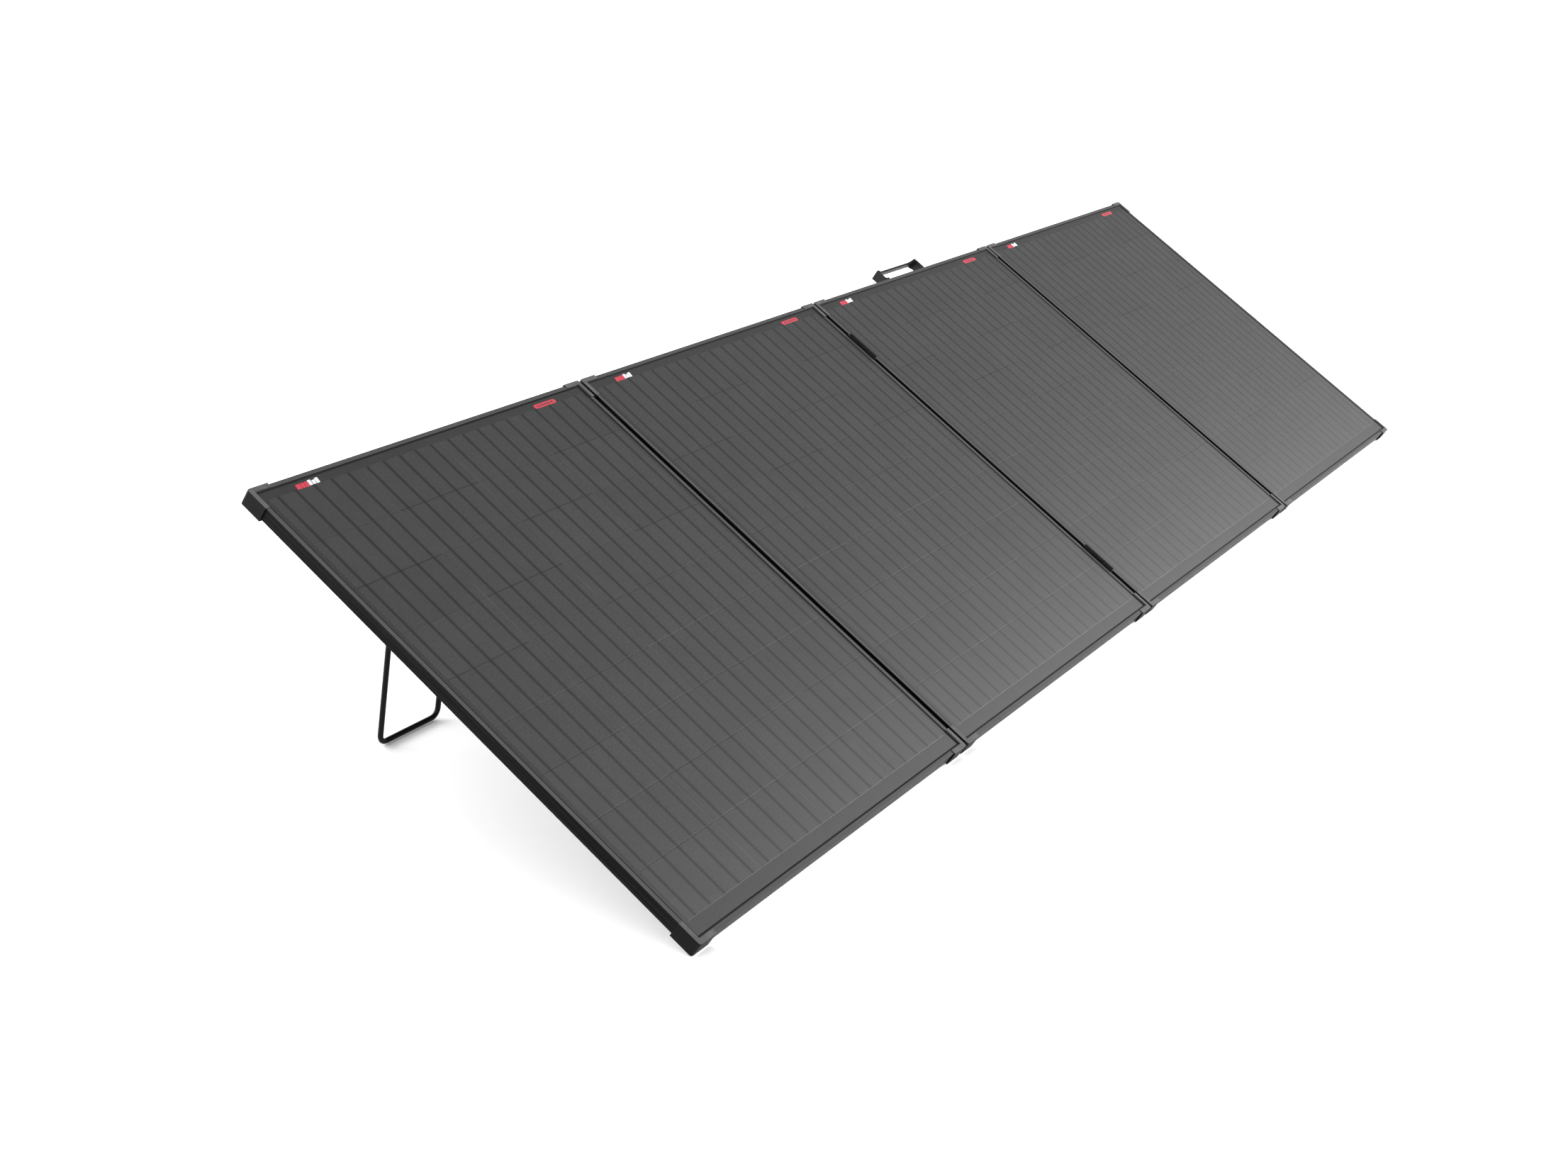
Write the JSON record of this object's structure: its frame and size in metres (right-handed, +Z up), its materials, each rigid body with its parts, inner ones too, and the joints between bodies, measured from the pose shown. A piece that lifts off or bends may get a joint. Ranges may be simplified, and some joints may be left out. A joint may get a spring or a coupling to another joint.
{
  "type": "folding solar panel",
  "caption": "Folding solar array: equal framed panels hinged side by side, leaning on folding wire legs, with a carrying handle on one top rail.",
  "frame": {"origin": "on the ground, at the middle of the whole object's footprint, opened out on its legs", "axes": "+X along the row from panel 1 to panel 4, +Y from the front towards the legs, +Z up; the fronts lean back 33.5 degrees and look towards -Y and up"},
  "size_m": [2.703, 0.706, 0.4566],
  "materials": {
    "frame_aluminium": "black anodised, satin",
    "cap_plastic": "black moulded, fine grain",
    "laminate": "textured matt front sheet over dark cells",
    "black_plastic": "black moulded, matt",
    "hinge_steel": "black coated steel",
    "pin_steel": "plain steel",
    "leg_wire": "black coated steel wire",
    "handle_plastic": "black moulded, satin"
  },
  "bodies": {
    "panel_2": {"hinge_12_right_leaf": "hinge_steel", "hinge_23_lower_left_leaf": "hinge_steel", "hinge_23_lower_pin": "pin_steel", "hinge_23_upper_left_leaf": "hinge_steel", "hinge_23_upper_pin": "pin_steel", "panel_2_bottom_rail": "frame_aluminium", "panel_2_junction_box": "black_plastic", "panel_2_laminate": "laminate", "panel_2_left_rail": "frame_aluminium", "panel_2_lower_left_cap": "cap_plastic", "panel_2_lower_right_cap": "cap_plastic", "panel_2_right_rail": "frame_aluminium", "panel_2_top_rail": "frame_aluminium", "panel_2_upper_left_cap": "cap_plastic", "panel_2_upper_right_cap": "cap_plastic"},
    "panel_1": {"hinge_12_left_leaf": "hinge_steel", "hinge_12_pin": "pin_steel", "leg_1_left_bracket": "black_plastic", "leg_1_right_bracket": "black_plastic", "panel_1_bottom_rail": "frame_aluminium", "panel_1_junction_box": "black_plastic", "panel_1_laminate": "laminate", "panel_1_left_rail": "frame_aluminium", "panel_1_lower_left_cap": "cap_plastic", "panel_1_lower_right_cap": "cap_plastic", "panel_1_right_rail": "frame_aluminium", "panel_1_top_rail": "frame_aluminium", "panel_1_upper_left_cap": "cap_plastic", "panel_1_upper_right_cap": "cap_plastic"},
    "panel_3": {"handle": "handle_plastic", "hinge_23_lower_right_leaf": "hinge_steel", "hinge_23_upper_right_leaf": "hinge_steel", "hinge_34_left_leaf": "hinge_steel", "hinge_34_pin": "pin_steel", "panel_3_bottom_rail": "frame_aluminium", "panel_3_junction_box": "black_plastic", "panel_3_laminate": "laminate", "panel_3_left_rail": "frame_aluminium", "panel_3_lower_left_cap": "cap_plastic", "panel_3_lower_right_cap": "cap_plastic", "panel_3_right_rail": "frame_aluminium", "panel_3_top_rail": "frame_aluminium", "panel_3_upper_left_cap": "cap_plastic", "panel_3_upper_right_cap": "cap_plastic"},
    "panel_4": {"hinge_34_right_leaf": "hinge_steel", "leg_4_left_bracket": "black_plastic", "leg_4_right_bracket": "black_plastic", "panel_4_bottom_rail": "frame_aluminium", "panel_4_junction_box": "black_plastic", "panel_4_laminate": "laminate", "panel_4_left_rail": "frame_aluminium", "panel_4_lower_left_cap": "cap_plastic", "panel_4_lower_right_cap": "cap_plastic", "panel_4_right_rail": "frame_aluminium", "panel_4_top_rail": "frame_aluminium", "panel_4_upper_left_cap": "cap_plastic", "panel_4_upper_right_cap": "cap_plastic"},
    "leg_1": {"leg_1_rod": "leg_wire"},
    "leg_4": {"leg_4_rod": "leg_wire"}
  },
  "joints": [
    {"name": "fold_23", "type": "hinge", "parent": "panel_2", "child": "panel_3", "pos_m": [0, -0.35356, 0.01918], "axis": [0, -0.8339, -0.5519], "range_deg": [0, 180]},
    {"name": "fold_12", "type": "hinge", "parent": "panel_2", "child": "panel_1", "pos_m": [-0.677, -0.34059, -0.00042], "axis": [0, -0.8339, -0.5519], "range_deg": [0, 180]},
    {"name": "fold_34", "type": "hinge", "parent": "panel_3", "child": "panel_4", "pos_m": [0.677, -0.34059, -0.00042], "axis": [0, 0.8339, 0.5519], "range_deg": [0, 180]},
    {"name": "leg_1_fold", "type": "hinge", "parent": "panel_1", "child": "leg_1", "pos_m": [-1.0155, 0.27908, 0.42221], "axis": [-1, 0, 0], "range_deg": [0, 66]},
    {"name": "leg_4_fold", "type": "hinge", "parent": "panel_4", "child": "leg_4", "pos_m": [1.0155, 0.27908, 0.42221], "axis": [-1, 0, 0], "range_deg": [0, 66]}
  ],
  "couplings": [
    {"joint": "fold_12", "follows": "fold_23", "ratio": 1},
    {"joint": "fold_34", "follows": "fold_23", "ratio": 1},
    {"joint": "leg_1_fold", "follows": "fold_23", "ratio": 0.36667},
    {"joint": "leg_4_fold", "follows": "fold_23", "ratio": 0.36667}
  ]
}
